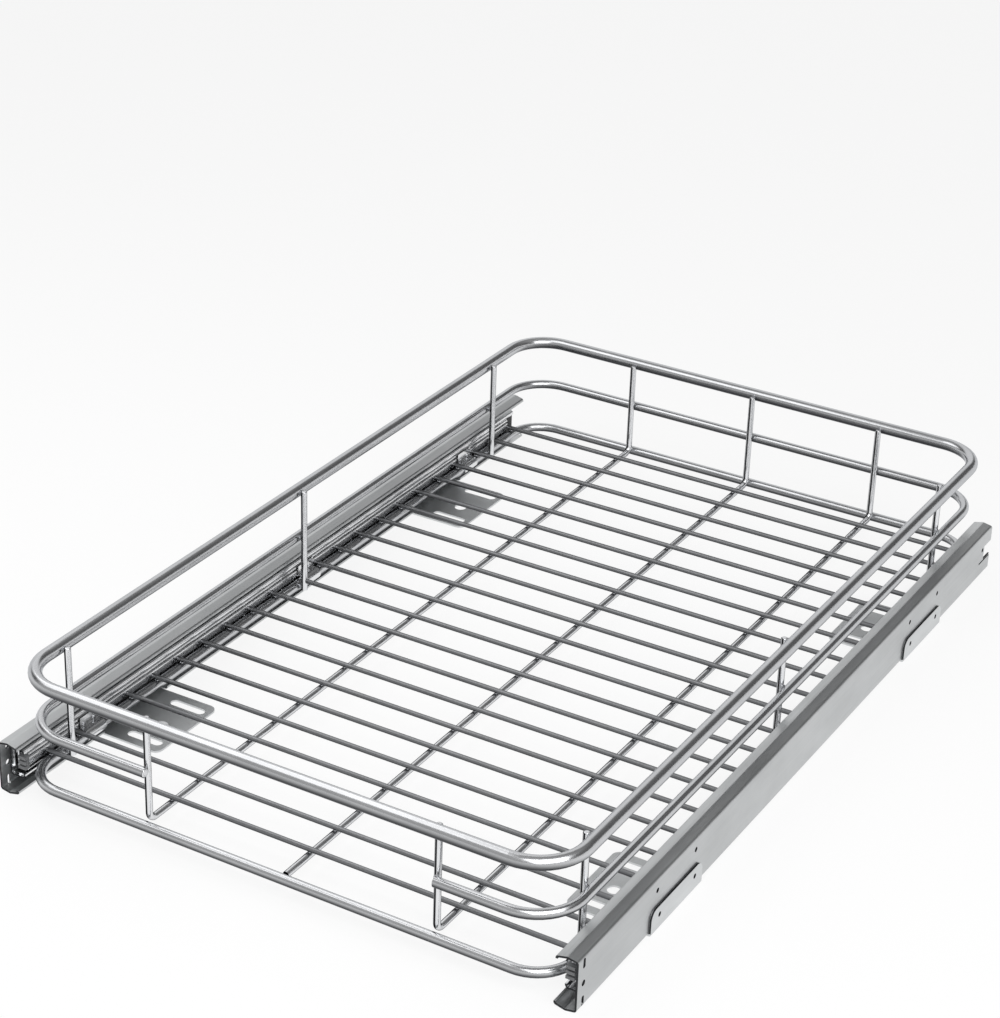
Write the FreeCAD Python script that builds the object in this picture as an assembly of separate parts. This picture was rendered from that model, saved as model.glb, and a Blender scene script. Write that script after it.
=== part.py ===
import FreeCAD, Part
import math
import os

# Pull-out cabinet shelf: a welded wire basket on two full-extension ball slides.
# Millimetres. The origin is on the cabinet floor under the middle of the shelf.
# +X is to the right, +Y to the back of the cabinet, +Z is up.
# Every side part is modelled on the right (+X) and mirrored for the left.

# Basket outline between its rails, which the housings and slides follow
RAIL_INNER_Y = 278.0

# Rail housing, the bent sheet channel that carries each slide
WEB_OUTER_X = 184.0
HOUSING_SHEET = 1.2
HOUSING_FRONT_OVERHANG = 5.0
HOUSING_BACK_SETBACK = 3.0
WEB_BOTTOM_Z = 1.2
WEB_TOP_Z = 31.7
FLANGE_LIP_X = 170.7
FLANGE_LIP_TIP_X = 170.9
FLANGE_RIDGE_X = 177.5
FLANGE_BOW = 1.2
LIP_CORNER_DROP = 0.5
LIP_TIP_DROP = 2.3
WEB_BEND_R = 1.8
RIDGE_BEND_R = 2.0
LIP_BEND_R = 1.5

# Holes and cut-outs of the housing web
FRONT_HOLES_INSET = 6.0
FRONT_HOLE_R = 1.75
FRONT_HOLE_Z = 15.9
FRONT_SLOT_UPPER_Z = 27.95
FRONT_SLOT_LOWER_Z = 4.95
FRONT_SLOT_HEIGHT = 6.0
FRONT_SLOT_WIDTH = 2.5
SIDE_HOLE_R = 1.5
SIDE_HOLE_Z = 24.7
SIDE_HOLE_PITCH = 44.0
BACK_NOTCH_DEPTH = 11.3
BACK_NOTCH_LOW_Z = 12.2
BACK_NOTCH_HIGH_Z = 21.8
BACK_SLIT_DEPTH = 18.4
BACK_SLIT_Z = 11.5
BACK_SLIT_HEIGHT = 1.2
BACK_HOLE_INSET = 14.4
BACK_HOLE_Z = 20.3
BACK_HOLE_R = 1.5

# Foot brackets, one front and one rear on each housing
BRACKET_SHEET = 1.2
BRACKET_LENGTH = 58.6
FRONT_BRACKET_INSET = 106.5
REAR_BRACKET_INSET = 115.5
BRACKET_LEG_TOP_Z = 14.7
BRACKET_LEG_CORNER_R = 6.0
BRACKET_BEND_R = 1.2
BRACKET_LEG_HOLE_R = 1.5
BRACKET_LEG_HOLE_Z = 9.2
BRACKET_LEG_HOLE_PITCH = 40.4
TAB_INNER_X = 133.5
TAB_CORNER_R = 5.0
TAB_SLOT_X = 149.0
TAB_SLOT_LENGTH = 24.0
TAB_SLOT_WIDTH = 6.0
TAB_SLOT_PITCH = 41.0
TAB_HOLE_X = 150.0
TAB_HOLE_R = 4.0
TAB_HOLE_SHIFT = -4.0
TAB_WINDOW_CLEARANCE = 0.5

# Slide cross section: u runs from the outer member's web to the basket, v is height
SLIDE_SHEET = 1.0
SLIDE_CENTRE_Z = 16.45
OUTER_BALL_R = 1.2
INNER_BALL_R = 1.0
BALL_CLEARANCE = 0.05
OUTER_FLANGE_V = 8.5
OUTER_LIP_U = 8.2
OUTER_LIP_TIP_V = 6.8
OUTER_WEB_BEND_R = 0.8
MIDDLE_WEB_U = 1.2
MIDDLE_FLANGE_V = 7.0
MIDDLE_WEB_BEND_R = 1.5
MIDDLE_LIP_TIP_V = 4.2
INNER_OPEN_U = 3.4
INNER_FLANGE_V = 3.9
INNER_FACE_U = 9.4
INNER_FACE_BEND_R = 1.2

# Slide ends inside the housing
OUTER_MEMBER_FRONT_INSET = 8.0
SLIDE_FRONT_INSET = 12.0
SLIDE_BACK_INSET = 11.0
BUMPER_LENGTH = 7.0
BUMPER_GAP = 1.0
BUMPER_LIP_CLEARANCE = 0.1

# Front caps, moulded stops plugged into the front ends of the inner members
CAP_LENGTH = 3.5
CAP_INNER_U = 4.2
CAP_HALF_HEIGHT = 4.1
CAP_GROOVE_WIDTH = 1.2
CAP_GROOVE_DEPTH = 1.4
CAP_RIB_PITCH = 3.2
CAP_PLUG_LENGTH = 6.0
CAP_PLUG_CLEARANCE = 0.1

# Ball cages
CAGE_SHEET = 0.4
CAGE_LENGTH = 220.0
CAGE_CENTRE_Y = -3.0
CAGE_EDGE_U = 7.6
CAGE_BEND_R = 0.6
OUTER_CAGE_WEB_U = 0.4
OUTER_CAGE_FLANGE_V = 7.9
INNER_CAGE_WEB_U = 2.6
INNER_CAGE_FLANGE_V = 4.55
BALLS_PER_ROW = 6
BALL_PITCH = 40.0

# Basket rails
RAIL_TO_SLIDE_GAP = 0.2
RAIL_CORNER_R = 28.0
BOTTOM_RAIL_CORNER_R = 24.0
TOP_RAIL_R = 4.0
TOP_RAIL_Z = 77.7
MIDDLE_RAIL_R = 3.0
MIDDLE_RAIL_Z = 46.2
MIDDLE_RAIL_LEFT_LAP = 2.0
MIDDLE_RAIL_RIGHT_SETBACK = 1.2
BOTTOM_RAIL_R = 3.0
BOTTOM_RAIL_Z = 11.7

# Basket wires and posts
FLOOR_WIRE_R = 1.5
FLOOR_WIRE_COUNT = 22
FLOOR_WIRE_FRONT_INSET = 22.3
FLOOR_WIRE_BACK_INSET = 21.9
POST_R = 2.0
SIDE_POST_FRONT_INSET = 34.5
SIDE_POST_BACK_INSET = 58.4
SIDE_POST_COUNT = 3
SIDE_POST_TOP_Z = 78.7
SIDE_POST_FOOT_Z = 9.7
SUPPORT_BEND_R = 5.0
SUPPORT_TOP_Z = 77.5
LEFT_SUPPORT_X = -85.0
CENTRE_SUPPORT_X = 6.0
RIGHT_SUPPORT_X = 98.0

# Rail clips and their rivets
CLIP_SHEET = 0.8
CLIP_WIDTH = 16.0
CLIP_FRONT_INSET = 59.0
CLIP_MIDDLE_Y = 0.3
CLIP_BACK_INSET = 82.9
CLIP_TOP_Z = 22.0
CLIP_FOOT_Z = 5.2
CLIP_EAR_BEND_R = 1.0
RIVET_R = 0.8
RIVET_CLEARANCE = 0.03
RIVET_HEAD_R = 1.2
RIVET_TAIL_R = 1.1
RIVET_HEAD_HEIGHT = 0.6
RIVET_PITCH = 9.0
RIVET_RISE = 0.55

# Sizes that follow from the values above
HOUSING_FRONT_Y = -RAIL_INNER_Y - HOUSING_FRONT_OVERHANG
HOUSING_BACK_Y = RAIL_INNER_Y - HOUSING_BACK_SETBACK
FRONT_BRACKET_Y = HOUSING_FRONT_Y + FRONT_BRACKET_INSET
REAR_BRACKET_Y = HOUSING_BACK_Y - REAR_BRACKET_INSET
OUTER_MEMBER_FRONT_Y = HOUSING_FRONT_Y + OUTER_MEMBER_FRONT_INSET
SLIDE_FRONT_Y = HOUSING_FRONT_Y + SLIDE_FRONT_INSET
OUTER_MEMBER_BACK_Y = HOUSING_BACK_Y - SLIDE_BACK_INSET
MOVING_MEMBER_BACK_Y = OUTER_MEMBER_BACK_Y - BUMPER_LENGTH - BUMPER_GAP
SLIDE_WEB_X = WEB_OUTER_X - HOUSING_SHEET - SLIDE_SHEET
OUTER_TRACK_R = OUTER_BALL_R + BALL_CLEARANCE
INNER_TRACK_R = INNER_BALL_R + BALL_CLEARANCE
OUTER_BALL_U = OUTER_LIP_U - OUTER_TRACK_R
OUTER_BALL_V = OUTER_FLANGE_V - OUTER_TRACK_R
MIDDLE_TRACK_V = OUTER_BALL_V - OUTER_TRACK_R
INNER_BALL_U = OUTER_LIP_U - INNER_TRACK_R
INNER_BALL_V = MIDDLE_TRACK_V - SLIDE_SHEET - INNER_TRACK_R
INNER_TRACK_V = INNER_BALL_V - INNER_TRACK_R
FACE_X = SLIDE_WEB_X - INNER_FACE_U
RAIL_INNER_X = FACE_X - RAIL_TO_SLIDE_GAP - 2 * BOTTOM_RAIL_R
SUPPORT_Z = BOTTOM_RAIL_Z + BOTTOM_RAIL_R - POST_R
FLOOR_WIRE_Z = BOTTOM_RAIL_Z + BOTTOM_RAIL_R + FLOOR_WIRE_R
FLOOR_WIRE_END_X = RAIL_INNER_X + 2 * BOTTOM_RAIL_R
FLOOR_WIRE_SPAN = 2 * RAIL_INNER_Y - FLOOR_WIRE_FRONT_INSET - FLOOR_WIRE_BACK_INSET
SIDE_POST_SPAN = 2 * RAIL_INNER_Y - SIDE_POST_FRONT_INSET - SIDE_POST_BACK_INSET
CLIP_Y = (-RAIL_INNER_Y + CLIP_FRONT_INSET, CLIP_MIDDLE_Y, RAIL_INNER_Y - CLIP_BACK_INSET)
RIVET_Z = SLIDE_CENTRE_Z + RIVET_RISE
SIDE_POST_X = RAIL_INNER_X - POST_R
MIDDLE_RAIL_LEFT_END_X = LEFT_SUPPORT_X + MIDDLE_RAIL_LEFT_LAP
MIDDLE_RAIL_RIGHT_END_X = RIGHT_SUPPORT_X + MIDDLE_RAIL_RIGHT_SETBACK
SUPPORT_END_Y = RAIL_INNER_Y - POST_R
CUT_MARGIN = 5.0
PICK_MARGIN = 0.5
SAME_POINT = 0.001

X_AXIS = FreeCAD.Vector(1, 0, 0)
Z_AXIS = FreeCAD.Vector(0, 0, 1)
ORIGIN = FreeCAD.Vector(0, 0, 0)


def save(shape, node):
    shape.exportStep("parts/" + node + ".step")


def save_pair(shape, node):
    save(shape, "right_" + node)
    save(shape.mirror(ORIGIN, X_AXIS), "left_" + node)


def cylinder(start, axis, radius, length):
    return Part.makeCylinder(radius, length, start, axis)


def box(x0, x1, y0, y1, z0, z1):
    return Part.makeBox(x1 - x0, y1 - y0, z1 - z0, FreeCAD.Vector(x0, y0, z0))


# Bent wire: straight cylinders joined by revolved bends

def bend_corner(before, corner, after, bend_r):
    leg_in = (before - corner).normalize()
    leg_out = (after - corner).normalize()
    half_angle = leg_in.getAngle(leg_out) / 2
    setback = bend_r / math.tan(half_angle)
    bisector = (leg_in + leg_out).normalize()
    centre = corner + bisector * (bend_r / math.sin(half_angle))
    return corner + leg_in * setback, corner + leg_out * setback, centre


def bend_solid(start, centre, end, direction, wire_r):
    axis = (start - centre).cross(end - centre).normalize()
    turn = math.degrees((start - centre).getAngle(end - centre))
    disc = Part.Face(Part.Wire(Part.makeCircle(wire_r, start, direction)))
    return disc.revolve(centre, axis, turn)


def bent_wire(points, bend_r, wire_r, closed=False):
    count = len(points)
    solids = []
    legs = [[points[i], points[(i + 1) % count]] for i in range(count if closed else count - 1)]
    corners = range(count) if closed else range(1, count - 1)
    for i in corners:
        start, end, centre = bend_corner(points[i - 1], points[i], points[(i + 1) % count], bend_r)
        direction = (points[i] - points[i - 1]).normalize()
        solids.append(bend_solid(start, centre, end, direction, wire_r))
        legs[i - 1][1] = start
        legs[i][0] = end
    for start, end in legs:
        solids.append(cylinder(start, end - start, wire_r, (end - start).Length))
    return solids[0].multiFuse(solids[1:]).removeSplitter()


# Bent sheet: a path with rounded corners, thickened on its right-hand side

def add_line(edges, start, end):
    if start.distanceToPoint(end) > SAME_POINT:
        edges.append(Part.makeLine(start, end))


def path_edges(points, radii):
    edges = []
    last = points[0]
    for i in range(1, len(points) - 1):
        if radii[i - 1] > 0:
            start, end, centre = bend_corner(points[i - 1], points[i], points[i + 1], radii[i - 1])
            middle = centre + (points[i] - centre).normalize() * radii[i - 1]
            add_line(edges, last, start)
            edges.append(Part.Arc(start, middle, end).toShape())
            last = end
        else:
            add_line(edges, last, points[i])
            last = points[i]
    add_line(edges, last, points[-1])
    return edges


def bent_sheet(corners, radii, thickness, y0, y1):
    points = [FreeCAD.Vector(x, y0, z) for x, z in corners]
    legs = [(b - a).normalize() for a, b in zip(points, points[1:])]
    rights = [FreeCAD.Vector(leg.z, 0, -leg.x) for leg in legs]
    inner_points = [points[0] + rights[0] * thickness]
    inner_radii = []
    for i in range(1, len(points) - 1):
        turn = legs[i - 1].x * legs[i].z - legs[i - 1].z * legs[i].x
        mitre = (rights[i - 1] + rights[i]).normalize()
        inner_points.append(points[i] + mitre * (thickness / mitre.dot(rights[i])))
        inner_radii.append(max(radii[i - 1] + math.copysign(thickness, turn), 0))
    inner_points.append(points[-1] + rights[-1] * thickness)
    edges = path_edges(points, radii) + path_edges(inner_points, inner_radii)
    edges.append(Part.makeLine(points[0], inner_points[0]))
    edges.append(Part.makeLine(points[-1], inner_points[-1]))
    face = Part.Face(Part.Wire(Part.__sortEdges__(edges)))
    return face.extrude(FreeCAD.Vector(0, y1 - y0, 0))


# Slide sections: an outline of the upper half in u and v, reflected for the lower half

def slide_point(u, v, y):
    return FreeCAD.Vector(SLIDE_WEB_X - u, y, SLIDE_CENTRE_Z + v)


def half_section(outline, side, y0, y1):
    edges = []
    last = slide_point(outline[-1][0], side * outline[-1][1], y0)
    for step in outline:
        point = slide_point(step[0], side * step[1], y0)
        if len(step) == 4:
            centre = slide_point(step[2], side * step[3], y0)
            radius = (point - centre).Length
            middle = centre + (last + point - centre * 2).normalize() * radius
            edges.append(Part.Arc(last, middle, point).toShape())
        else:
            edges.append(Part.makeLine(last, point))
        last = point
    return Part.Face(Part.Wire(edges)).extrude(FreeCAD.Vector(0, y1 - y0, 0))


def slide_member(outline, y0, y1):
    upper = half_section(outline, 1, y0, y1)
    lower = half_section(outline, -1, y0, y1)
    return upper.fuse(lower).removeSplitter()


def chord(radius, offset):
    return math.sqrt(radius * radius - offset * offset)


def outer_member():
    outer_r = OUTER_TRACK_R + SLIDE_SHEET
    bend = OUTER_WEB_BEND_R
    bend_v = OUTER_FLANGE_V - bend
    outline = [
        (0, 0),
        (0, bend_v),
        (bend, OUTER_FLANGE_V, bend, bend_v),
        (OUTER_BALL_U, OUTER_FLANGE_V),
        (OUTER_LIP_U, OUTER_BALL_V, OUTER_BALL_U, OUTER_BALL_V),
        (OUTER_LIP_U, OUTER_LIP_TIP_V),
        (OUTER_LIP_U + SLIDE_SHEET, OUTER_LIP_TIP_V),
        (OUTER_BALL_U + outer_r, OUTER_BALL_V),
        (OUTER_BALL_U, OUTER_BALL_V + outer_r, OUTER_BALL_U, OUTER_BALL_V),
        (bend, OUTER_FLANGE_V + SLIDE_SHEET),
        (-SLIDE_SHEET, bend_v, bend, bend_v),
        (-SLIDE_SHEET, 0),
    ]
    return slide_member(outline, OUTER_MEMBER_FRONT_Y, OUTER_MEMBER_BACK_Y)


def middle_member():
    outer_r = OUTER_TRACK_R + SLIDE_SHEET
    lip_r = INNER_TRACK_R + SLIDE_SHEET
    bend = MIDDLE_WEB_BEND_R
    bend_u = MIDDLE_WEB_U + bend
    bend_v = MIDDLE_FLANGE_V - bend
    inner_v = MIDDLE_FLANGE_V - SLIDE_SHEET
    track_start_u = OUTER_BALL_U - chord(OUTER_TRACK_R, MIDDLE_FLANGE_V - OUTER_BALL_V)
    track_inner_u = OUTER_BALL_U - chord(outer_r, inner_v - OUTER_BALL_V)
    tip = MIDDLE_LIP_TIP_V - INNER_BALL_V
    outline = [
        (MIDDLE_WEB_U, 0),
        (MIDDLE_WEB_U, bend_v),
        (bend_u, MIDDLE_FLANGE_V, bend_u, bend_v),
        (track_start_u, MIDDLE_FLANGE_V),
        (OUTER_BALL_U, MIDDLE_TRACK_V, OUTER_BALL_U, OUTER_BALL_V),
        (INNER_BALL_U, MIDDLE_TRACK_V),
        (INNER_BALL_U + chord(lip_r, tip), MIDDLE_LIP_TIP_V, INNER_BALL_U, INNER_BALL_V),
        (INNER_BALL_U + chord(INNER_TRACK_R, tip), MIDDLE_LIP_TIP_V),
        (INNER_BALL_U, MIDDLE_TRACK_V - SLIDE_SHEET, INNER_BALL_U, INNER_BALL_V),
        (OUTER_BALL_U, MIDDLE_TRACK_V - SLIDE_SHEET),
        (track_inner_u, inner_v, OUTER_BALL_U, OUTER_BALL_V),
        (bend_u, inner_v),
        (MIDDLE_WEB_U + SLIDE_SHEET, bend_v, bend_u, bend_v),
        (MIDDLE_WEB_U + SLIDE_SHEET, 0),
    ]
    return slide_member(outline, SLIDE_FRONT_Y, MOVING_MEMBER_BACK_Y)


def inner_member():
    outer_r = INNER_TRACK_R + SLIDE_SHEET
    bend = INNER_FACE_BEND_R
    bend_u = INNER_FACE_U - bend
    bend_v = INNER_TRACK_V - bend
    inner_v = INNER_FLANGE_V - SLIDE_SHEET
    track_start_u = INNER_BALL_U - chord(INNER_TRACK_R, INNER_FLANGE_V - INNER_BALL_V)
    track_inner_u = INNER_BALL_U - chord(outer_r, inner_v - INNER_BALL_V)
    outline = [
        (INNER_FACE_U, 0),
        (INNER_FACE_U, bend_v),
        (bend_u, INNER_TRACK_V, bend_u, bend_v),
        (INNER_BALL_U, INNER_TRACK_V),
        (track_start_u, INNER_FLANGE_V, INNER_BALL_U, INNER_BALL_V),
        (INNER_OPEN_U, INNER_FLANGE_V),
        (INNER_OPEN_U, inner_v),
        (track_inner_u, inner_v),
        (INNER_BALL_U, INNER_TRACK_V - SLIDE_SHEET, INNER_BALL_U, INNER_BALL_V),
        (bend_u, INNER_TRACK_V - SLIDE_SHEET),
        (INNER_FACE_U - SLIDE_SHEET, bend_v, bend_u, bend_v),
        (INNER_FACE_U - SLIDE_SHEET, 0),
    ]
    member = slide_member(outline, SLIDE_FRONT_Y, MOVING_MEMBER_BACK_Y)
    return member.cut(rivet_holes())


# Ball cages and balls

def ball_rows_y():
    first = CAGE_CENTRE_Y - BALL_PITCH * (BALLS_PER_ROW - 1) / 2
    return [first + BALL_PITCH * i for i in range(BALLS_PER_ROW)]


def ball_cage(web_u, flange_v, ball_u, ball_r):
    y0 = CAGE_CENTRE_Y - CAGE_LENGTH / 2
    y1 = CAGE_CENTRE_Y + CAGE_LENGTH / 2
    bend_u = web_u + CAGE_BEND_R
    bend_v = flange_v - CAGE_BEND_R
    outline = [
        (web_u, 0),
        (web_u, bend_v),
        (bend_u, flange_v, bend_u, bend_v),
        (CAGE_EDGE_U, flange_v),
        (CAGE_EDGE_U, flange_v - CAGE_SHEET),
        (bend_u, flange_v - CAGE_SHEET),
        (web_u + CAGE_SHEET, bend_v, bend_u, bend_v),
        (web_u + CAGE_SHEET, 0),
    ]
    cage = slide_member(outline, y0, y1)
    pockets = []
    for y in ball_rows_y():
        start = slide_point(ball_u, -flange_v - CAGE_SHEET, y)
        full_height = 2 * (flange_v + CAGE_SHEET)
        pockets.append(cylinder(start, Z_AXIS, ball_r + BALL_CLEARANCE, full_height))
    return cage.cut(Part.makeCompound(pockets))


def balls(ball_u, ball_v, ball_r):
    spheres = []
    for y in ball_rows_y():
        for side in (1, -1):
            spheres.append(Part.makeSphere(ball_r, slide_point(ball_u, side * ball_v, y)))
    return Part.makeCompound(spheres)


# Rear bumper: a moulded stop in the back end of the outer member

def rear_bumper():
    half = OUTER_LIP_TIP_V - BUMPER_LIP_CLEARANCE
    x0 = SLIDE_WEB_X - OUTER_LIP_U
    y0 = OUTER_MEMBER_BACK_Y - BUMPER_LENGTH
    y1 = OUTER_MEMBER_BACK_Y
    block = box(x0, SLIDE_WEB_X, y0, y1, SLIDE_CENTRE_Z - half, SLIDE_CENTRE_Z + half)
    rib_half = OUTER_FLANGE_V
    ribs = box(x0 + OUTER_TRACK_R, SLIDE_WEB_X - OUTER_WEB_BEND_R, y0, y1,
               SLIDE_CENTRE_Z - rib_half, SLIDE_CENTRE_Z + rib_half)
    return block.fuse(ribs).removeSplitter()


# Front cap: a ribbed block in front of the inner member, with a plug inside it

def front_cap():
    x0 = SLIDE_WEB_X - INNER_FACE_U
    x1 = SLIDE_WEB_X - CAP_INNER_U
    front_y = SLIDE_FRONT_Y - CAP_LENGTH
    block = box(x0, x1, front_y, SLIDE_FRONT_Y,
                SLIDE_CENTRE_Z - CAP_HALF_HEIGHT, SLIDE_CENTRE_Z + CAP_HALF_HEIGHT)
    plug_half = INNER_TRACK_V - SLIDE_SHEET - CAP_PLUG_CLEARANCE
    plug_x = x0 + SLIDE_SHEET + CAP_PLUG_CLEARANCE
    plug = box(plug_x, x1, SLIDE_FRONT_Y - CAP_GROOVE_DEPTH, SLIDE_FRONT_Y + CAP_PLUG_LENGTH,
               SLIDE_CENTRE_Z - plug_half, SLIDE_CENTRE_Z + plug_half)
    grooves = []
    for side in (1, -1):
        groove_z = SLIDE_CENTRE_Z + side * CAP_RIB_PITCH / 2
        grooves.append(box(x0 - CUT_MARGIN, x1 + CUT_MARGIN,
                           front_y - CUT_MARGIN, front_y + CAP_GROOVE_DEPTH,
                           groove_z - CAP_GROOVE_WIDTH / 2, groove_z + CAP_GROOVE_WIDTH / 2))
    return block.fuse(plug).removeSplitter().cut(Part.makeCompound(grooves))


# Rail housing

def vertical_slot(y, z):
    half = (FRONT_SLOT_HEIGHT - FRONT_SLOT_WIDTH) / 2
    radius = FRONT_SLOT_WIDTH / 2
    x0 = WEB_OUTER_X - WEB_BEND_R
    length = WEB_BEND_R + CUT_MARGIN
    top = cylinder(FreeCAD.Vector(x0, y, z + half), X_AXIS, radius, length)
    foot = cylinder(FreeCAD.Vector(x0, y, z - half), X_AXIS, radius, length)
    waist = box(x0, x0 + length, y - radius, y + radius, z - half, z + half)
    return top.multiFuse([foot, waist]).removeSplitter()


def web_hole(y, z, radius):
    x0 = WEB_OUTER_X - HOUSING_SHEET - CUT_MARGIN
    length = HOUSING_SHEET + BRACKET_SHEET + 2 * CUT_MARGIN
    return cylinder(FreeCAD.Vector(x0, y, z), X_AXIS, radius, length)


def bracket_leg_holes(bracket_y):
    half = BRACKET_LEG_HOLE_PITCH / 2
    return [web_hole(bracket_y + side * half, BRACKET_LEG_HOLE_Z, BRACKET_LEG_HOLE_R)
            for side in (1, -1)]


def rail_housing():
    corners = [
        (FLANGE_LIP_TIP_X, WEB_TOP_Z - LIP_TIP_DROP),
        (FLANGE_LIP_X, WEB_TOP_Z - LIP_CORNER_DROP),
        (FLANGE_RIDGE_X, WEB_TOP_Z + FLANGE_BOW),
        (WEB_OUTER_X, WEB_TOP_Z),
        (WEB_OUTER_X, WEB_BOTTOM_Z),
        (FLANGE_RIDGE_X, WEB_BOTTOM_Z - FLANGE_BOW),
        (FLANGE_LIP_X, WEB_BOTTOM_Z + LIP_CORNER_DROP),
        (FLANGE_LIP_TIP_X, WEB_BOTTOM_Z + LIP_TIP_DROP),
    ]
    radii = [LIP_BEND_R, RIDGE_BEND_R, WEB_BEND_R, WEB_BEND_R, RIDGE_BEND_R, LIP_BEND_R]
    channel = bent_sheet(corners, radii, HOUSING_SHEET, HOUSING_FRONT_Y, HOUSING_BACK_Y)
    web_inner_x = WEB_OUTER_X - HOUSING_SHEET
    beyond_x = WEB_OUTER_X + CUT_MARGIN
    beyond_y = HOUSING_BACK_Y + CUT_MARGIN
    below_z = WEB_BOTTOM_Z - FLANGE_BOW - CUT_MARGIN
    front_y = HOUSING_FRONT_Y + FRONT_HOLES_INSET
    cuts = [
        web_hole(front_y, FRONT_HOLE_Z, FRONT_HOLE_R),
        vertical_slot(front_y, FRONT_SLOT_UPPER_Z),
        vertical_slot(front_y, FRONT_SLOT_LOWER_Z),
        web_hole(HOUSING_BACK_Y - BACK_HOLE_INSET, BACK_HOLE_Z, BACK_HOLE_R),
        box(web_inner_x - HOUSING_SHEET, beyond_x, HOUSING_BACK_Y - BACK_NOTCH_DEPTH, beyond_y,
            BACK_NOTCH_LOW_Z, BACK_NOTCH_HIGH_Z),
        box(web_inner_x - HOUSING_SHEET, beyond_x, HOUSING_BACK_Y - BACK_SLIT_DEPTH, beyond_y,
            BACK_SLIT_Z - BACK_SLIT_HEIGHT / 2, BACK_SLIT_Z + BACK_SLIT_HEIGHT / 2),
    ]
    for bracket_y in (FRONT_BRACKET_Y, REAR_BRACKET_Y):
        cuts.append(web_hole(bracket_y - SIDE_HOLE_PITCH / 2, SIDE_HOLE_Z, SIDE_HOLE_R))
        cuts.append(web_hole(bracket_y + SIDE_HOLE_PITCH / 2, SIDE_HOLE_Z, SIDE_HOLE_R))
        cuts.extend(bracket_leg_holes(bracket_y))
        y0 = bracket_y - BRACKET_LENGTH / 2 - TAB_WINDOW_CLEARANCE
        y1 = bracket_y + BRACKET_LENGTH / 2 + TAB_WINDOW_CLEARANCE
        cuts.append(box(FLANGE_LIP_X - CUT_MARGIN, web_inner_x, y0, y1,
                        below_z, WEB_BOTTOM_Z + LIP_TIP_DROP + CUT_MARGIN / 2))
        cuts.append(box(FLANGE_LIP_X - CUT_MARGIN, beyond_x, y0, y1, below_z, WEB_BOTTOM_Z))
    return channel.cut(Part.makeCompound(cuts))


# Foot bracket

def tab_slot(y):
    half = (TAB_SLOT_LENGTH - TAB_SLOT_WIDTH) / 2
    radius = TAB_SLOT_WIDTH / 2
    height = BRACKET_SHEET + 2 * CUT_MARGIN
    outer = cylinder(FreeCAD.Vector(TAB_SLOT_X + half, y, -CUT_MARGIN), Z_AXIS, radius, height)
    inner = cylinder(FreeCAD.Vector(TAB_SLOT_X - half, y, -CUT_MARGIN), Z_AXIS, radius, height)
    waist = box(TAB_SLOT_X - half, TAB_SLOT_X + half, y - radius, y + radius,
                -CUT_MARGIN, height - CUT_MARGIN)
    return outer.multiFuse([inner, waist]).removeSplitter()


def foot_bracket(bracket_y):
    y0 = bracket_y - BRACKET_LENGTH / 2
    y1 = bracket_y + BRACKET_LENGTH / 2
    leg_x = WEB_OUTER_X + BRACKET_SHEET
    corners = [(leg_x, BRACKET_LEG_TOP_Z), (leg_x, 0), (TAB_INNER_X, 0)]
    plate = bent_sheet(corners, [BRACKET_BEND_R], BRACKET_SHEET, y0, y1)
    leg_corners = [e for e in plate.Edges
                   if abs(e.CenterOfMass.z - BRACKET_LEG_TOP_Z) < PICK_MARGIN
                   and e.Length < 2 * BRACKET_SHEET]
    plate = plate.makeFillet(BRACKET_LEG_CORNER_R, leg_corners)
    tab_corners = [e for e in plate.Edges
                   if abs(e.CenterOfMass.x - TAB_INNER_X) < PICK_MARGIN
                   and e.Length < 2 * BRACKET_SHEET]
    plate = plate.makeFillet(TAB_CORNER_R, tab_corners)
    hole_start = FreeCAD.Vector(TAB_HOLE_X, bracket_y + TAB_HOLE_SHIFT, -CUT_MARGIN)
    cuts = bracket_leg_holes(bracket_y)
    cuts.append(tab_slot(bracket_y - TAB_SLOT_PITCH / 2))
    cuts.append(tab_slot(bracket_y + TAB_SLOT_PITCH / 2))
    cuts.append(cylinder(hole_start, Z_AXIS, TAB_HOLE_R, 3 * CUT_MARGIN))
    return plate.cut(Part.makeCompound(cuts))


# Basket

def rail_loop(wire_r, corner_r, z):
    x = RAIL_INNER_X + wire_r
    y = RAIL_INNER_Y + wire_r
    points = [FreeCAD.Vector(-x, -y, z), FreeCAD.Vector(x, -y, z),
              FreeCAD.Vector(x, y, z), FreeCAD.Vector(-x, y, z)]
    return bent_wire(points, corner_r, wire_r, closed=True)


def open_rail():
    x = RAIL_INNER_X + MIDDLE_RAIL_R
    y = RAIL_INNER_Y + MIDDLE_RAIL_R
    z = MIDDLE_RAIL_Z
    points = [FreeCAD.Vector(MIDDLE_RAIL_LEFT_END_X, -y, z), FreeCAD.Vector(-x, -y, z),
              FreeCAD.Vector(-x, y, z), FreeCAD.Vector(x, y, z),
              FreeCAD.Vector(x, -y, z), FreeCAD.Vector(MIDDLE_RAIL_RIGHT_END_X, -y, z)]
    return bent_wire(points, RAIL_CORNER_R, MIDDLE_RAIL_R)


def side_post_y():
    first = -RAIL_INNER_Y + SIDE_POST_FRONT_INSET
    pitch = SIDE_POST_SPAN / (SIDE_POST_COUNT - 1)
    return [first + i * pitch for i in range(SIDE_POST_COUNT)]


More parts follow.
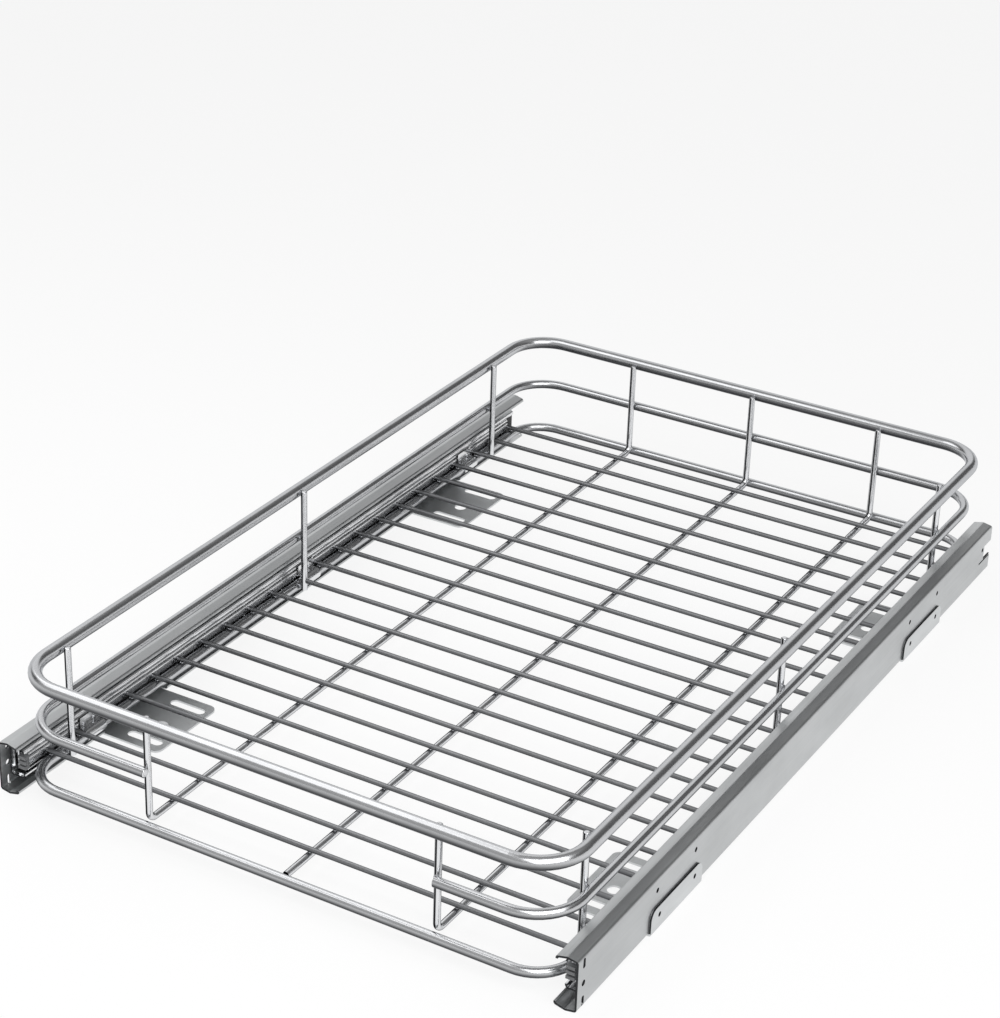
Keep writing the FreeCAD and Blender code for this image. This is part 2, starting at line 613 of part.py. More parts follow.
def floor_wires():
    wires = []
    pitch = FLOOR_WIRE_SPAN / (FLOOR_WIRE_COUNT - 1)
    reach = POST_R + FLOOR_WIRE_R
    for i in range(FLOOR_WIRE_COUNT):
        y = -RAIL_INNER_Y + FLOOR_WIRE_FRONT_INSET + i * pitch
        meets_post = any(abs(y - post_y) < reach for post_y in side_post_y())
        end_x = SIDE_POST_X - POST_R if meets_post else FLOOR_WIRE_END_X
        start = FreeCAD.Vector(-end_x, y, FLOOR_WIRE_Z)
        wires.append(cylinder(start, X_AXIS, FLOOR_WIRE_R, 2 * end_x))
    return Part.makeCompound(wires)


def support_wire(x, front_post):
    points = [FreeCAD.Vector(x, SUPPORT_END_Y, SUPPORT_TOP_Z),
              FreeCAD.Vector(x, SUPPORT_END_Y, SUPPORT_Z)]
    if front_post:
        points.append(FreeCAD.Vector(x, -SUPPORT_END_Y, SUPPORT_Z))
        points.append(FreeCAD.Vector(x, -SUPPORT_END_Y, SUPPORT_TOP_Z))
    else:
        points.append(FreeCAD.Vector(x, -RAIL_INNER_Y, SUPPORT_Z))
    return bent_wire(points, SUPPORT_BEND_R, POST_R)


def side_posts():
    height = SIDE_POST_TOP_Z - SIDE_POST_FOOT_Z
    posts = [cylinder(FreeCAD.Vector(SIDE_POST_X, y, SIDE_POST_FOOT_Z), Z_AXIS, POST_R, height)
             for y in side_post_y()]
    return Part.makeCompound(posts)


# Rail clips: saddles that hold the bottom rail against the inner slide members

def rivet_spots():
    return [y + side * RIVET_PITCH / 2 for y in CLIP_Y for side in (1, -1)]


def rivet_holes():
    start_x = FACE_X - CLIP_SHEET - CUT_MARGIN
    length = 2 * CUT_MARGIN
    radius = RIVET_R + RIVET_CLEARANCE
    holes = [cylinder(FreeCAD.Vector(start_x, y, RIVET_Z), X_AXIS, radius, length)
             for y in rivet_spots()]
    return Part.makeCompound(holes)


def rail_clips():
    rail_x = RAIL_INNER_X + BOTTOM_RAIL_R
    corners = [
        (FACE_X, CLIP_TOP_Z),
        (FACE_X, BOTTOM_RAIL_Z + BOTTOM_RAIL_R),
        (RAIL_INNER_X, BOTTOM_RAIL_Z + BOTTOM_RAIL_R),
        (RAIL_INNER_X, BOTTOM_RAIL_Z - BOTTOM_RAIL_R),
        (rail_x + BOTTOM_RAIL_R, BOTTOM_RAIL_Z - BOTTOM_RAIL_R),
        (rail_x + BOTTOM_RAIL_R, CLIP_FOOT_Z),
    ]
    radii = [CLIP_EAR_BEND_R, BOTTOM_RAIL_R, BOTTOM_RAIL_R, CLIP_EAR_BEND_R]
    clips = [bent_sheet(corners, radii, CLIP_SHEET, y - CLIP_WIDTH / 2, y + CLIP_WIDTH / 2)
             for y in CLIP_Y]
    return Part.makeCompound(clips).cut(rivet_holes())


def clip_rivets():
    rivets = []
    for y in rivet_spots():
        near_x = FACE_X - CLIP_SHEET
        far_x = FACE_X + SLIDE_SHEET
        shank = cylinder(FreeCAD.Vector(near_x, y, RIVET_Z), X_AXIS, RIVET_R, far_x - near_x)
        head = cylinder(FreeCAD.Vector(near_x - RIVET_HEAD_HEIGHT, y, RIVET_Z), X_AXIS,
                        RIVET_HEAD_R, RIVET_HEAD_HEIGHT)
        tail = cylinder(FreeCAD.Vector(far_x, y, RIVET_Z), X_AXIS,
                        RIVET_TAIL_R, RIVET_HEAD_HEIGHT)
        rivets.append(shank.multiFuse([head, tail]).removeSplitter())
    return Part.makeCompound(rivets)


# Fixed parts
save_pair(rail_housing(), "rail_housing")
save_pair(foot_bracket(FRONT_BRACKET_Y), "front_foot_bracket")
save_pair(foot_bracket(REAR_BRACKET_Y), "rear_foot_bracket")
save_pair(outer_member(), "outer_slide_member")
save_pair(rear_bumper(), "rear_bumper")

# Parts that roll between the fixed and the pulled-out members
save_pair(middle_member(), "middle_slide_member")
save_pair(ball_cage(OUTER_CAGE_WEB_U, OUTER_CAGE_FLANGE_V, OUTER_BALL_U, OUTER_BALL_R),
          "outer_ball_cage")
save_pair(balls(OUTER_BALL_U, OUTER_BALL_V, OUTER_BALL_R), "outer_balls")
save_pair(ball_cage(INNER_CAGE_WEB_U, INNER_CAGE_FLANGE_V, INNER_BALL_U, INNER_BALL_R),
          "inner_ball_cage")
save_pair(balls(INNER_BALL_U, INNER_BALL_V, INNER_BALL_R), "inner_balls")

# Basket and what is fixed to it
save_pair(inner_member(), "inner_slide_member")
save_pair(front_cap(), "front_cap")
save_pair(rail_clips(), "rail_clips")
save_pair(clip_rivets(), "clip_rivets")
save_pair(side_posts(), "side_posts")
save(rail_loop(TOP_RAIL_R, RAIL_CORNER_R, TOP_RAIL_Z), "top_rail")
save(open_rail(), "middle_rail")
save(rail_loop(BOTTOM_RAIL_R, BOTTOM_RAIL_CORNER_R, BOTTOM_RAIL_Z), "bottom_rail")
save(floor_wires(), "floor_wires")
save(support_wire(LEFT_SUPPORT_X, True), "left_support_wire")
save(support_wire(CENTRE_SUPPORT_X, False), "centre_support_wire")
save(support_wire(RIGHT_SUPPORT_X, True), "right_support_wire")
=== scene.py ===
import bpy
import bmesh
import math
from mathutils import Matrix, Vector


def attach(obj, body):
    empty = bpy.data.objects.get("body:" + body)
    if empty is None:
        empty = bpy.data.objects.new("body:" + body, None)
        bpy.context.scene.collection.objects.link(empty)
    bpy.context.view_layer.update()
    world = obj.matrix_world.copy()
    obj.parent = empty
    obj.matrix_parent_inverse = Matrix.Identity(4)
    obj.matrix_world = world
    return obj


# Pull-out cabinet shelf: a chromed wire basket on two ball slides in zinc-plated housings.
# Metres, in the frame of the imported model: +X right, +Y to the back, +Z up. The places and
# sizes of the shelf are written in millimetres, and MM turns them to metres.

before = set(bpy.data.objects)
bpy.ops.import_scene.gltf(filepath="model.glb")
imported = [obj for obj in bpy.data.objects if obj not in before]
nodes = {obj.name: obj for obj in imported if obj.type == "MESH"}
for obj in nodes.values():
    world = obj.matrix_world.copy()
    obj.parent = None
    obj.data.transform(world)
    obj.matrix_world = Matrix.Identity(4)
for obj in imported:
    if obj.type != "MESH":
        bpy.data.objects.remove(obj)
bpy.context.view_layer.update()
MM = 0.001

# Places on the basket, the same as in the solid model
RAIL_INNER_X = 166.2
RAIL_INNER_Y = 278.0
TOP_RAIL_Z = 77.7
MIDDLE_RAIL_R = 3.0
MIDDLE_RAIL_Z = 46.2
MIDDLE_RAIL_ENDS_X = (-83.0, 99.2)
BOTTOM_RAIL_R = 3.0
BOTTOM_RAIL_Z = 11.7
FLOOR_WIRE_R = 1.5
FLOOR_WIRE_Z = 16.2
FLOOR_WIRE_FIRST_Y = -255.7
FLOOR_WIRE_PITCH = 24.37
FLOOR_WIRE_COUNT = 22
POST_R = 2.0
SIDE_POST_Y = (-243.5, -11.9, 219.6)
SIDE_POST_TOP_Z = 78.7
SUPPORT_X = (-85.0, 6.0, 98.0)
FRONT_SUPPORT_X = (-85.0, 98.0)
SUPPORT_TOP_Z = 77.5

# Weld beads: their half-widths in X, Y and Z under the floor wires, then across and along
# the rail at a post, with each rail's height and their half-height there
RAIL_BEAD = (1.7, 1.5, 0.55)
SUPPORT_BEAD = (1.2, 1.4, 0.45)
BEAD_ACROSS = 0.5
BEAD_ALONG = 1.5
BEAD_HEIGHTS = ((TOP_RAIL_Z, 2.0), (MIDDLE_RAIL_Z, 2.2), (BOTTOM_RAIL_Z, 2.2))
BEAD_SIDES = 10
BEAD_RINGS = 6

# Cut ends of the wires: a short taper with its edge rounded
END_HEIGHT = 0.5
END_TAPER = 0.72
END_ROUNDING = 0.4
END_SIDES = 24
SAME_LEVEL = 1e-4

# Where the sheets end, and between which faces their sheared edges show
HOUSING_ENDS_Y = (-283.0, 275.0)
OUTER_SLIDE_ENDS_Y = (-275.0, 264.0)
HOUSING_WEB_X = (182.8, 184.0)
HOUSING_WEB_Z = (2.6, 30.3)
BRACKET_LEG_X = (184.0, 185.2)
BRACKET_LEG_Z = (1.5, 15.0)
CLIP_EAR_X = (171.6, 172.4)
CLIP_EAR_Z = (15.5, 22.3)
EDGE_MARGIN = 0.05
# Colour of the cut edges: partly the duller bare cut, partly painted shade for a dark line
# round them
SHEARED_EDGE_AND_SHADE_COLOUR = "#3c3d3f"
SHEARED_ROUGHNESS = 0.6

# Painted shade on the chrome, as painted dark reflections: the colour is darkened below and
# towards the front on the wires that lie, and on the uprights in two streaks beside the side
# that faces left and to the front. The middle is how squarely a spot faces that side where
# the painted shade is darkest, and the reach is how far from that it is gone, and whole
LYING_PAINTED_SHADE_SIDE = (0.0, -0.55, -0.83)
LYING_PAINTED_SHADE_MIDDLE = 1.0
LYING_PAINTED_SHADE_REACH = (1.1, 0.15)
UPRIGHT_PAINTED_SHADE_SIDE = (-0.86, -0.51, 0.0)
UPRIGHT_PAINTED_SHADE_MIDDLE = 0.62
UPRIGHT_PAINTED_SHADE_REACH = (0.38, 0.1)

# Studio, in metres: the turned-up paper floor, the lamps (name, place, facing, size and
# level), the walls (height from 0 at the horizon to 1 overhead, and shade) and the screens
# (direction, edge and shade)
FLOOR_R = 4.5
FLOOR_SIDES = 96
FLOOR_PAPER = "#f8f8f8"
FLOOR_WHITE = 0.85
SWEEP_R = 1.7
SWEEP_STEPS = 8
SOFTBOXES = (
    ("softbox_left", (-0.5, -0.235, 0.748), (0.0, -0.31, -0.95), (0.75, 0.81), 1.35),
    ("softbox_right", (0.8, -0.7, 1.0), (-0.6, 0.45, -0.8), (1.3, 1.3), 2.8),
)
WALLS = (
    (0.0, "#f0f0f0"),
    (0.2, "#e6e6e6"),
    (0.27, "#5c5c5c"),
    (0.6, "#686868"),
    (1.0, "#b0b0b0"),
)
SCREENS = (
    ((-0.3, -0.85, 0.4), (0.45, 0.75), "#bcbcbc"),
    ((-0.58, 0.7, 0.42), (0.84, 0.94), "#f8f8f8"),
)

# Camera, fitted to the photograph
CAMERA_PLACE = (0.6582, -1.20884, 0.8116)
CAMERA_TURN = (62.8846, -1.4246, 31.1363)
CAMERA_LENS = 92.3307
CAMERA_SENSOR = 36.0
CAMERA_SHIFT = 0.02947
CAMERA_NEAR = 0.05
CAMERA_FAR = 50.0

# The middle of the noise, where nearly all of it lies, and how strong its finer layers are
NOISE_MIDDLE = (0.3, 0.7)
NOISE_ROUGHNESS = 0.55

# The colour sockets of a Mix node, which share their names with its other sockets
MIX_A = 6
MIX_B = 7
MIX_RESULT = 2


# Colours and materials

def colour(hex_code):
    # sRGB hex to linear light
    channels = [int(hex_code[i:i + 2], 16) / 255 for i in (1, 3, 5)]
    return [c / 12.92 if c <= 0.04045 else ((c + 0.055) / 1.055) ** 2.4
            for c in channels] + [1]


def add(tree, kind, inputs=(), **settings):
    node = tree.nodes.new(kind)
    for key, value in settings.items():
        setattr(node, key, value)
    for key, value in dict(inputs).items():
        if isinstance(value, bpy.types.NodeSocket):
            tree.links.new(value, node.inputs[key])
        else:
            node.inputs[key].default_value = value
    return node


def new_material(name):
    material = bpy.data.materials.new(name)
    material.use_nodes = True
    tree = material.node_tree
    tree.nodes.clear()
    return material, tree


def pattern(tree, size_mm, detail, stretch=(1, 1, 1)):
    # One cell of the noise is size_mm across; stretch makes it longer along an axis
    place = add(tree, "ShaderNodeTexCoord")
    scale = [1 / (size_mm * MM * s) for s in stretch]
    mapped = add(tree, "ShaderNodeMapping",
                 {"Vector": place.outputs["Object"], "Scale": scale})
    return add(tree, "ShaderNodeTexNoise",
               {"Vector": mapped.outputs["Vector"], "Scale": 1.0, "Detail": detail,
                "Roughness": NOISE_ROUGHNESS}).outputs["Fac"]


def dress(tree, shades, cloud, roughness, haze, relief=None, layer=None, sockets=()):
    # What all the finishes share: the colour wanders between two shades with the cloud,
    # the roughness between two values with the haze, and relief is a pattern with its
    # depth in millimetres. A layer over them has its place, its colour and, unless it is
    # as smooth as what it covers, its roughness
    wander = [add(tree, "ShaderNodeMapRange",
                  {"Value": noise, "From Min": NOISE_MIDDLE[0], "From Max": NOISE_MIDDLE[1],
                   "To Min": low, "To Max": high}).outputs["Result"]
              for noise, low, high in ((cloud, 0.0, 1.0), (haze, *roughness))]
    skin = add(tree, "ShaderNodeMix",
               {"Factor": wander[0], MIX_A: colour(shades[0]), MIX_B: colour(shades[1])},
               data_type="RGBA").outputs[MIX_RESULT]
    rough = wander[1]
    if layer:
        place, shade, layer_rough = layer
        skin = add(tree, "ShaderNodeMix",
                   {"Factor": place, MIX_A: skin, MIX_B: colour(shade)},
                   data_type="RGBA").outputs[MIX_RESULT]
        if layer_rough is not None:
            rough = add(tree, "ShaderNodeMapRange",
                        {"Value": place, "To Min": rough,
                         "To Max": layer_rough}).outputs["Result"]
    inputs = {"Base Color": skin, "Roughness": rough, **dict(sockets)}
    if relief:
        bump = add(tree, "ShaderNodeBump",
                   {"Height": relief[0], "Distance": relief[1] * MM, "Strength": 1.0})
        inputs["Normal"] = bump.outputs["Normal"]
    shader = add(tree, "ShaderNodeBsdfPrincipled", inputs)
    add(tree, "ShaderNodeOutputMaterial", {"Surface": shader.outputs["BSDF"]})


def chrome_plated_wire(name, shades, roughness, rim, painted_shade_colour, painted_shade_side, painted_shade_middle,
                       painted_shade_reach):
    # Bright chrome over drawn steel wire, satin from the drawing die: soft highlights
    # that are never quite straight, over the faint ripple of the drawn surface. Painted
    # shade, a painted dark reflection, darkens the colour on one side of each wire and
    # fades out gently at its edges
    material, tree = new_material(name)
    ripple = pattern(tree, size_mm=7.0, detail=2.0)
    haze = pattern(tree, size_mm=1.6, detail=3.0)
    cloud = pattern(tree, size_mm=34.0, detail=2.0)
    # Painted shade: how squarely the surface faces the chosen side sets where the colour
    # darkens
    place = add(tree, "ShaderNodeTexCoord")
    facing = add(tree, "ShaderNodeVectorMath", {0: place.outputs["Normal"], 1: painted_shade_side},
                 operation="DOT_PRODUCT")
    apart = add(tree, "ShaderNodeMath", {0: facing.outputs["Value"], 1: painted_shade_middle},
                operation="SUBTRACT")
    apart = add(tree, "ShaderNodeMath", {0: apart.outputs["Value"]}, operation="ABSOLUTE")
    painted_shade = add(tree, "ShaderNodeMapRange",
               {"Value": apart.outputs["Value"], "From Min": painted_shade_reach[0],
                "From Max": painted_shade_reach[1]}, interpolation_type="SMOOTHSTEP")
    # The rim colour tints the reflection at a glancing view; where it is dark it paints
    # shade along the edges
    dress(tree, shades, cloud, roughness, haze, relief=(ripple, 0.03),
          layer=(painted_shade.outputs["Result"], painted_shade_colour, None),
          sockets={"Metallic": 1.0, "Specular Tint": colour(rim)})
    return material


def sheared_edges_and_shade(tree, ends_y, cut_x, cut_z):
    # 1 on the sheet's ends, at ends_y, and on the cut edges of its slots and holes, which
    # lie inside the sheet's thickness, between cut_x on either hand and between cut_z
    # The mask marks where the colour is darkened: partly the duller bare cut, partly painted
    # shade
    place = add(tree, "ShaderNodeTexCoord")
    split = add(tree, "ShaderNodeSeparateXYZ", {"Vector": place.outputs["Object"]})
    cuts = []
    if ends_y:
        middle = sum(ends_y) / 2
        reach = (ends_y[1] - ends_y[0]) / 2 - EDGE_MARGIN
        along = add(tree, "ShaderNodeMath", {0: split.outputs["Y"], 1: middle * MM},
                    operation="SUBTRACT")
        along = add(tree, "ShaderNodeMath", {0: along.outputs["Value"]},
                    operation="ABSOLUTE")
        cuts.append(add(tree, "ShaderNodeMath",
                        {0: along.outputs["Value"], 1: reach * MM},
                        operation="GREATER_THAN").outputs["Value"])
    if cut_x:
        side = add(tree, "ShaderNodeMath", {0: split.outputs["X"]}, operation="ABSOLUTE")
        inside = []
        for value, faces in ((side.outputs["Value"], cut_x), (split.outputs["Z"], cut_z)):
            middle = sum(faces) / 2
            reach = (faces[1] - faces[0]) / 2 - EDGE_MARGIN
            inside.append(add(tree, "ShaderNodeMath",
                              {0: value, 1: middle * MM, 2: reach * MM},
                              operation="COMPARE").outputs["Value"])
        cuts.append(add(tree, "ShaderNodeMath", {0: inside[0], 1: inside[1]},
                        operation="MULTIPLY").outputs["Value"])
    return add(tree, "ShaderNodeMath", {0: cuts[0], 1: cuts[-1]},
               operation="MAXIMUM").outputs["Value"]


def zinc_plated_sheet(name, shades, roughness, ends_y=None, cut_x=None, cut_z=None):
    # Electroplated zinc on cold-rolled strip: a satin grey with long rolling marks,
    # about 0.4 mm apart and drawn at 0.9 mm to show, and soft clouds of the plating.
    # The bright zinc of the slides and clips is lighter and smoother. The sheared edges
    # are rough and darkened, partly the duller bare cut and partly painted shade, which
    # draws a thin dark line round every end, slot and hole
    material, tree = new_material(name)
    rolling = pattern(tree, size_mm=0.9, detail=4.0, stretch=(1, 60, 1))
    cloud = pattern(tree, size_mm=22.0, detail=3.0, stretch=(1, 2, 1))
    layer = None
    if ends_y or cut_x:
        layer = (sheared_edges_and_shade(tree, ends_y, cut_x, cut_z), SHEARED_EDGE_AND_SHADE_COLOUR,
                 SHEARED_ROUGHNESS)
    dress(tree, shades, cloud, roughness, rolling, relief=(rolling, 0.006), layer=layer,
          sockets={"Metallic": 1.0})
    return material


def pressed_strip():
    # Thin pressed carbon-steel strip under a film of oil: darker and smoother
    material, tree = new_material("pressed_strip_oiled")
    smear = pattern(tree, size_mm=5.0, detail=3.0, stretch=(1, 4, 1))
    dress(tree, ("#8f908e", "#a2a3a1"), smear, (0.2, 0.34), smear, relief=(smear, 0.01),
          sockets={"Metallic": 1.0})
    return material


def bearing_steel():
    # Lapped bearing balls: a near-perfect mirror with a trace of grease haze
    material, tree = new_material("lapped_bearing_steel")
    grease = pattern(tree, size_mm=0.8, detail=2.0)
    dress(tree, ("#b0b1b3", "#bcbdbf"), grease, (0.04, 0.12), grease,
          sockets={"Metallic": 1.0})
    return material


def moulded_acetal(name, shades):
    # Moulded acetal: slightly waxy, with a fine spark-eroded grain
    material, tree = new_material(name)
    grain = pattern(tree, size_mm=0.35, detail=2.0)
    dress(tree, shades, grain, (0.4, 0.52), grain, relief=(grain, 0.02),
          sockets={"IOR": 1.48})
    return material


def headed_steel():
    # Cold-headed rivets: satin plated steel with small pits from the setting tool
    material, tree = new_material("cold_headed_plated_steel")
    pits = pattern(tree, size_mm=0.7, detail=3.0)
    dress(tree, ("#9fa0a2", "#b3b4b6"), pits, (0.22, 0.36), pits, relief=(pits, 0.03),
          sockets={"Metallic": 1.0})
    return material


def plated_weld():
    # Resistance welds under the chrome: small squeezed-out beads, bright but lumpy
    material, tree = new_material("chrome_on_weld_bead")
    lumps = pattern(tree, size_mm=1.1, detail=3.0)
    dress(tree, ("#97989b", "#aeafb2"), lumps, (0.12, 0.24), lumps, relief=(lumps, 0.12),
          sockets={"Metallic": 1.0})
    return material


# The dark colour given to each chrome below is its painted shade, on one side of the wire
RAIL = chrome_plated_wire(
    "satin_chrome_on_drawn_rail", ("#c4c5c7", "#cecfd1"), (0.2, 0.26), rim="#e6e7e9",
    painted_shade_colour="#3c3d3f", painted_shade_side=LYING_PAINTED_SHADE_SIDE, painted_shade_middle=LYING_PAINTED_SHADE_MIDDLE,
    painted_shade_reach=LYING_PAINTED_SHADE_REACH)
# The uprights' dark rim tint is painted shade along their outlines
POST = chrome_plated_wire(
    "satin_chrome_on_upright_wire", ("#e0e1e3", "#eaebed"), (0.18, 0.24), rim="#6a6b6d",
    painted_shade_colour="#18191b", painted_shade_side=UPRIGHT_PAINTED_SHADE_SIDE, painted_shade_middle=UPRIGHT_PAINTED_SHADE_MIDDLE,
    painted_shade_reach=UPRIGHT_PAINTED_SHADE_REACH)
# The fine wires' chrome is a darker copy of the rail's, painted shade that keeps them dark
# grey, and its greyer rim tint paints shade along their edges
WIRE = chrome_plated_wire(
    "satin_chrome_on_fine_drawn_wire", ("#848587", "#8f9092"), (0.4, 0.48), rim="#c0c1c3",
    painted_shade_colour="#505153", painted_shade_side=LYING_PAINTED_SHADE_SIDE, painted_shade_middle=LYING_PAINTED_SHADE_MIDDLE,
    painted_shade_reach=LYING_PAINTED_SHADE_REACH)
HOUSING = zinc_plated_sheet(
    "zinc_plated_roll_formed_sheet", ("#b7b9ba", "#c3c5c6"), (0.32, 0.42),
    ends_y=HOUSING_ENDS_Y, cut_x=HOUSING_WEB_X, cut_z=HOUSING_WEB_Z)
BRACKET = zinc_plated_sheet(
    "zinc_plated_pressed_bracket", ("#cbcdce", "#d7d9da"), (0.42, 0.52),
    cut_x=BRACKET_LEG_X, cut_z=BRACKET_LEG_Z)
SLIDE = zinc_plated_sheet(
    "bright_zinc_slide_strip", ("#e6e7e9", "#f0f1f2"), (0.18, 0.28))
OUTER_SLIDE = zinc_plated_sheet(
    "bright_zinc_slide_strip_with_cut_ends", ("#e6e7e9", "#f0f1f2"), (0.18, 0.28),
    ends_y=OUTER_SLIDE_ENDS_Y)
CLIP = zinc_plated_sheet(
    "bright_zinc_stamped_clip", ("#dfe0e2", "#eaebec"), (0.16, 0.26),
    cut_x=CLIP_EAR_X, cut_z=CLIP_EAR_Z)
CAGE = pressed_strip()
BALL = bearing_steel()
BUMPER = moulded_acetal("moulded_black_acetal", ("#1b1c1e", "#242527"))
FRONT_CAP = moulded_acetal("moulded_grey_acetal", ("#6e6f71", "#7a7b7d"))
RIVET = headed_steel()
WELD = plated_weld()

# A node takes the first finish whose word is in its name
NODE_FINISHES = (
    ("rail_housing", HOUSING),
    ("foot_bracket", BRACKET),
    ("outer_slide_member", OUTER_SLIDE),
    ("slide_member", SLIDE),
    ("rail_clips", CLIP),
    ("clip_rivets", RIVET),
    ("ball_cage", CAGE),
    ("balls", BALL),
    ("bumper", BUMPER),
    ("front_cap", FRONT_CAP),
    ("rail", RAIL),
    ("support_wire", POST),
    ("wire", WIRE),
    ("posts", POST),
)

for node_name, cad_node in nodes.items():
    for word, material in NODE_FINISHES:
        if word in node_name:
            cad_node.data.materials.clear()
            cad_node.data.materials.append(material)
            break


# New pieces, drawn in millimetres. They all ride on the basket and are chromed with it

def basket_piece(name, bm, material):
    bmesh.ops.scale(bm, vec=(MM, MM, MM), verts=bm.verts)
    bmesh.ops.recalc_face_normals(bm, faces=bm.faces)
    mesh = bpy.data.meshes.new(name)
    bm.to_mesh(mesh)
    bm.free()
    mesh.shade_smooth()
    mesh.materials.append(material)
    made = bpy.data.objects.new(name, mesh)
    bpy.context.scene.collection.objects.link(made)
    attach(made, "basket")


def bead(bm, centre, size):
    # A weld bead: a squashed ball, size gives its three half-widths
    matrix = Matrix.Translation(centre) @ Matrix.Diagonal((*size, 1))
    bmesh.ops.create_uvsphere(bm, u_segments=BEAD_SIDES, v_segments=BEAD_RINGS, radius=1.0,
                              matrix=matrix)


def floor_weld_beads():
    # Where each floor wire crosses the bottom rail and the three supports
    bm = bmesh.new()
    rail_x = RAIL_INNER_X + BOTTOM_RAIL_R
    joint_z = FLOOR_WIRE_Z - FLOOR_WIRE_R
    for i in range(FLOOR_WIRE_COUNT):
        y = FLOOR_WIRE_FIRST_Y + FLOOR_WIRE_PITCH * i
        for x in (-rail_x, rail_x):
            bead(bm, Vector((x, y, joint_z)), RAIL_BEAD)
        for x in SUPPORT_X:
            bead(bm, Vector((x, y, joint_z)), SUPPORT_BEAD)
    basket_piece("floor_weld_beads", bm, WELD)


def post_weld_beads():
    # Where the posts touch the rails; the supports pass below the bottom rail
    bm = bmesh.new()
    for z, half in BEAD_HEIGHTS:
        for y in SIDE_POST_Y:
            for x in (-RAIL_INNER_X, RAIL_INNER_X):
                bead(bm, Vector((x, y, z)), (BEAD_ACROSS, BEAD_ALONG, half))
        if z == BOTTOM_RAIL_Z:
            continue
        places = [(x, RAIL_INNER_Y) for x in SUPPORT_X]
        places += [(x, -RAIL_INNER_Y) for x in FRONT_SUPPORT_X]
        for x, y in places:
            bead(bm, Vector((x, y, z)), (BEAD_ALONG, BEAD_ACROSS, half))
    basket_piece("post_weld_beads", bm, WELD)


def cut_end(bm, centre, radius, turn=Matrix.Identity(4)):
    # A slightly rounded cut end that closes a wire
    matrix = Matrix.Translation(centre) @ turn
    made = bmesh.ops.create_cone(bm, cap_ends=True, segments=END_SIDES, radius1=radius,
                                 radius2=radius * END_TAPER, depth=END_HEIGHT,
                                 matrix=matrix)
    back = matrix.inverted()
    top = [v for v in made["verts"] if abs((back @ v.co).z - END_HEIGHT / 2) < SAME_LEVEL]
    edges = [e for e in bm.edges if all(v in top for v in e.verts)]
    bmesh.ops.bevel(bm, geom=edges, offset=END_HEIGHT * END_ROUNDING, segments=2,
                    profile=0.5, affect="EDGES", material=-1)


def wire_end_caps():
    # On the posts' tops, and on the two stubs of the middle rail, which point inwards
    bm = bmesh.new()
    post_z = SIDE_POST_TOP_Z + END_HEIGHT / 2
    for y in SIDE_POST_Y:
        for x in (-RAIL_INNER_X + POST_R, RAIL_INNER_X - POST_R):
            cut_end(bm, Vector((x, y, post_z)), POST_R)
    support_y = RAIL_INNER_Y - POST_R
    support_z = SUPPORT_TOP_Z + END_HEIGHT / 2
    for x in SUPPORT_X:
        cut_end(bm, Vector((x, support_y, support_z)), POST_R)
    for x in FRONT_SUPPORT_X:
        cut_end(bm, Vector((x, -support_y, support_z)), POST_R)
    rail_y = -RAIL_INNER_Y - MIDDLE_RAIL_R
    for x, side in zip(MIDDLE_RAIL_ENDS_X, (1, -1)):
        turn = Matrix.Rotation(side * math.pi / 2, 4, "Y")
        cut_end(bm, Vector((x + side * END_HEIGHT / 2, rail_y, MIDDLE_RAIL_Z)),
                MIDDLE_RAIL_R, turn)
    basket_piece("wire_end_caps", bm, POST)


floor_weld_beads()
post_weld_beads()
wire_end_caps()


# Studio: pale floor, soft lamps and the camera at the photograph's angle

def matt_white_paper():
    # Matt white paper. It is mostly shown as white to the lens and in the metal, and the
    # rest of it is lit, so the shelf keeps its shadow
    material, tree = new_material("matt_white_paper")
    paper = add(tree, "ShaderNodeBsdfPrincipled",
                {"Base Color": colour(FLOOR_PAPER), "Roughness": 0.95,
                 "Specular IOR Level": 0.2})
    white = add(tree, "ShaderNodeEmission", {"Color": colour("#ffffff"), "Strength": 1.0})
    path = add(tree, "ShaderNodeLightPath")
    seen = add(tree, "ShaderNodeMath", {0: path.outputs["Is Camera Ray"],
                                        1: path.outputs["Is Glossy Ray"]}, operation="ADD")
    seen = add(tree, "ShaderNodeMath", {0: seen.outputs["Value"],
                                        1: path.outputs["Is Transmission Ray"]},
               operation="ADD", use_clamp=True)
    share = add(tree, "ShaderNodeMath", {0: seen.outputs["Value"], 1: FLOOR_WHITE},
                operation="MULTIPLY")
    mixed = add(tree, "ShaderNodeMixShader", {0: share.outputs["Value"],
                                              1: paper.outputs["BSDF"],
                                              2: white.outputs["Emission"]})
    add(tree, "ShaderNodeOutputMaterial", {"Surface": mixed.outputs["Shader"]})
    return material


def studio_floor():
    # A wide disc, turned up all round in a quarter circle as a backdrop
    bm = bmesh.new()
    rim = bmesh.ops.create_circle(bm, cap_ends=True, radius=FLOOR_R,
                                  segments=FLOOR_SIDES)["verts"]
    steps = [math.pi / 2 * i / SWEEP_STEPS for i in range(SWEEP_STEPS + 1)]
    for last, turn in zip(steps, steps[1:]):
        wide = ((FLOOR_R + SWEEP_R * math.sin(turn))
                / (FLOOR_R + SWEEP_R * math.sin(last)))
        rise = SWEEP_R * (math.cos(last) - math.cos(turn))
        loop = [e for e in bm.edges if all(v in rim for v in e.verts)]
        made = bmesh.ops.extrude_edge_only(bm, edges=loop)["geom"]
        rim = [v for v in made if isinstance(v, bmesh.types.BMVert)]
        bmesh.ops.scale(bm, vec=(wide, wide, 1), verts=rim)
        bmesh.ops.translate(bm, vec=(0, 0, rise), verts=rim)
    mesh = bpy.data.meshes.new("studio_floor")
    bm.to_mesh(mesh)
    bm.free()
    mesh.shade_smooth()
    mesh.materials.append(matt_white_paper())
    floor = bpy.data.objects.new("studio_floor", mesh)
    bpy.context.scene.collection.objects.link(floor)


